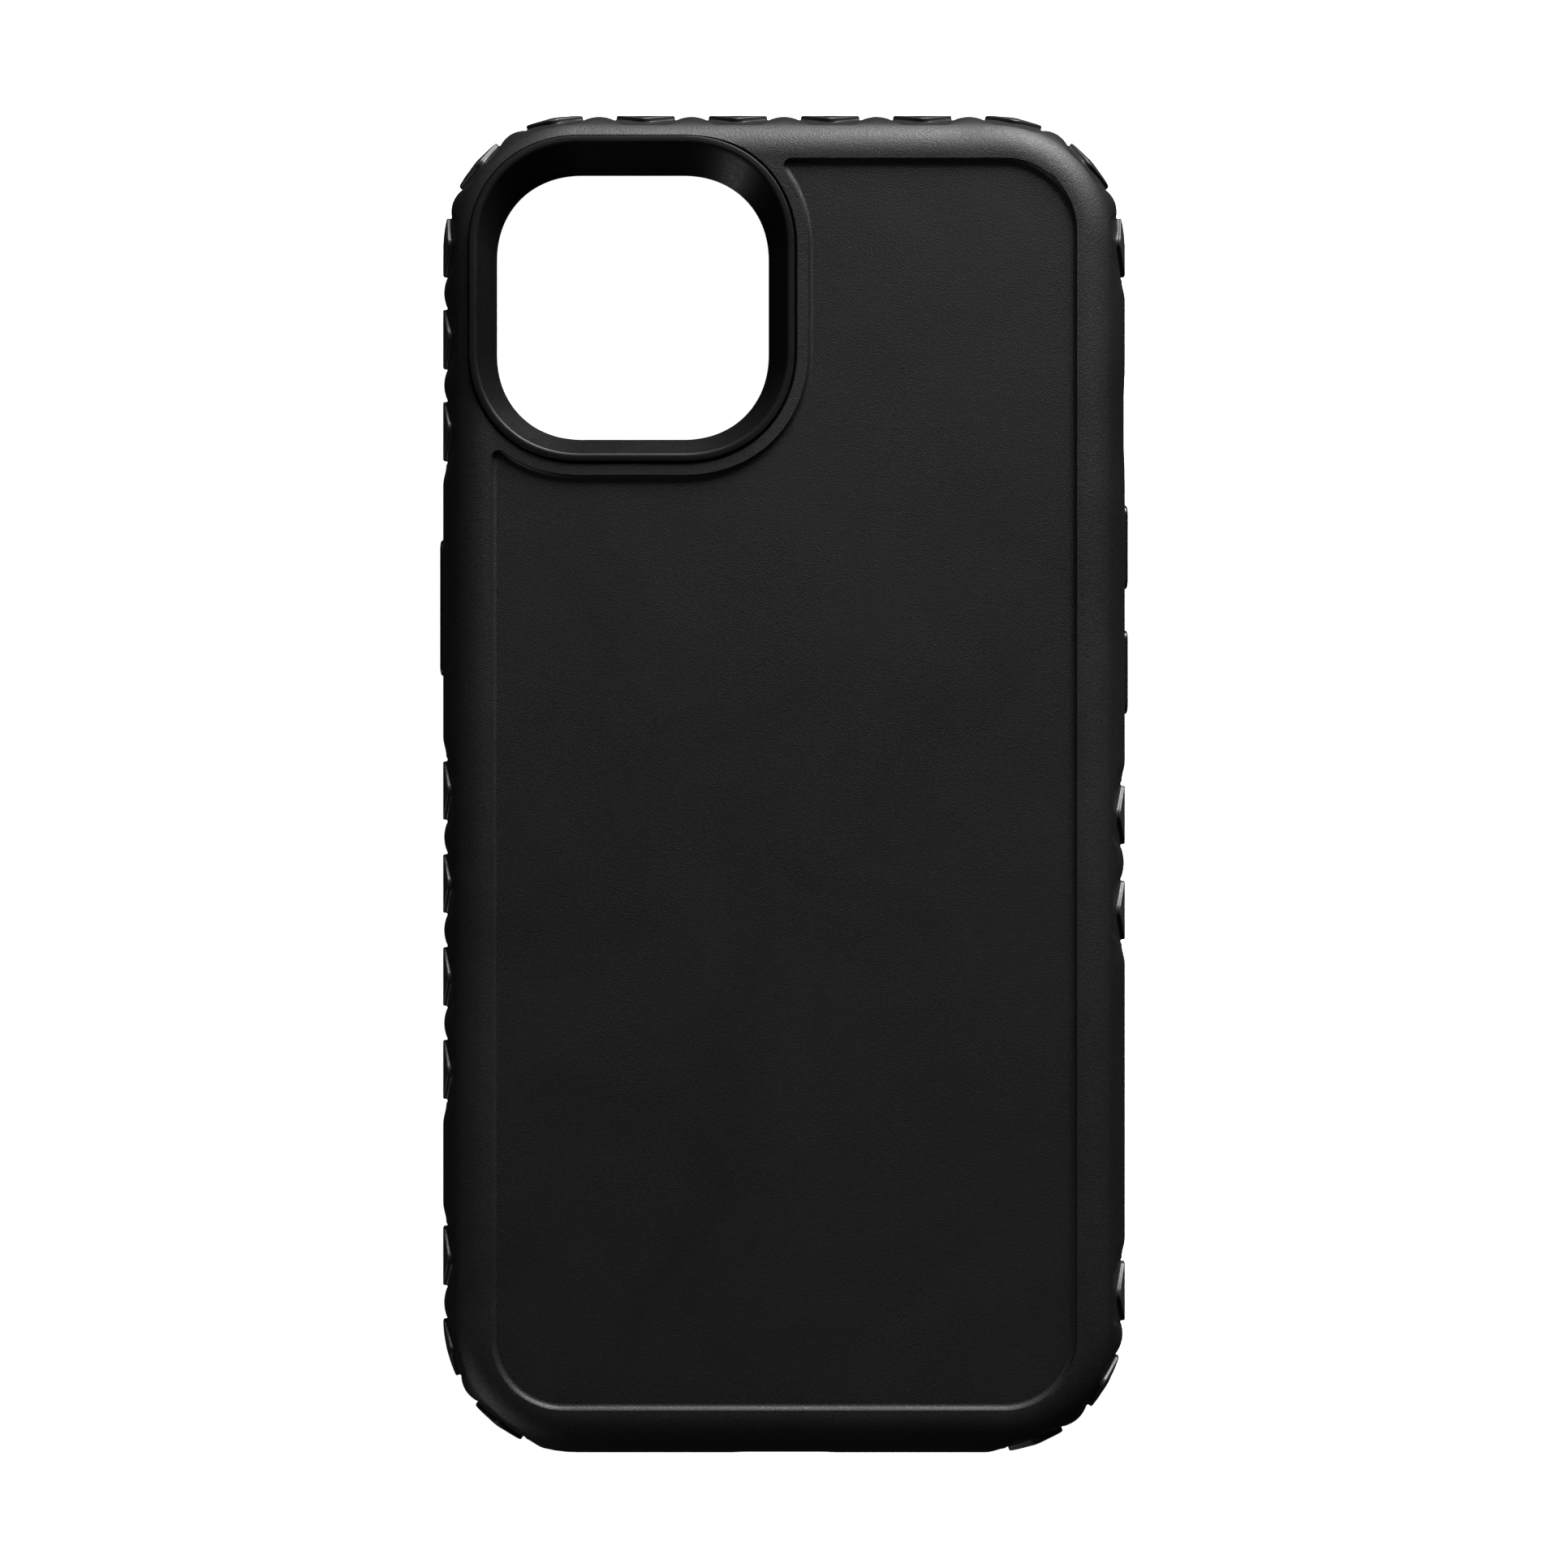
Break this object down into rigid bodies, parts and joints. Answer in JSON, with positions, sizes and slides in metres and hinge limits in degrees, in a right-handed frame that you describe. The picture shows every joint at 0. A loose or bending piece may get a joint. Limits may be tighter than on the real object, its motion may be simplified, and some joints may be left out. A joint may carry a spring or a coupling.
{
  "type": "phone case",
  "caption": "Rugged two-layer phone case with a recessed back panel, a raised camera bezel, tread lugs around its rim and press keys over the phone's buttons.",
  "frame": {"origin": "middle of the footprint, on the plane of the screen-side lip that the case lies on", "axes": "+Z out of the back of the case, +Y towards the phone's top edge, +X towards the volume keys, which is the right-hand side when the back is seen with its camera window at the top"},
  "size_m": [0.0792, 0.1536, 0.0125],
  "materials": {
    "frame": "moulded black with a very fine leather-like grain, satin on the crowned edge",
    "panel": "moulded black with the same fine grain, a little more matt",
    "liner": "smooth soft black elastomer",
    "bezel": "smooth ungrained satin black",
    "tread": "smooth semi-gloss black elastomer",
    "key": "smooth gloss black"
  },
  "bodies": {
    "case": {"outer_frame": "frame", "back_panel": "panel", "inner_liner": "liner", "camera_bezel": "bezel", "tread_strip_top": "tread", "tread_strip_left": "tread", "tread_strip_left_foot": "tread", "tread_strip_right": "tread", "tread_strip_right_foot": "tread"},
    "side_key": {"side_button": "key"},
    "volume_up_key": {"volume_up_button": "key"},
    "volume_down_key": {"volume_down_button": "key"}
  },
  "joints": [
    {"name": "side_button_press", "type": "slide", "parent": "case", "child": "side_key", "axis": [1, 0, 0], "range_m": [0, 0.0004], "stiffness_N_per_m": 2500},
    {"name": "volume_up_press", "type": "slide", "parent": "case", "child": "volume_up_key", "axis": [-1, 0, 0], "range_m": [0, 0.0004], "stiffness_N_per_m": 2500},
    {"name": "volume_down_press", "type": "slide", "parent": "case", "child": "volume_down_key", "axis": [-1, 0, 0], "range_m": [0, 0.0004], "stiffness_N_per_m": 2500}
  ]
}
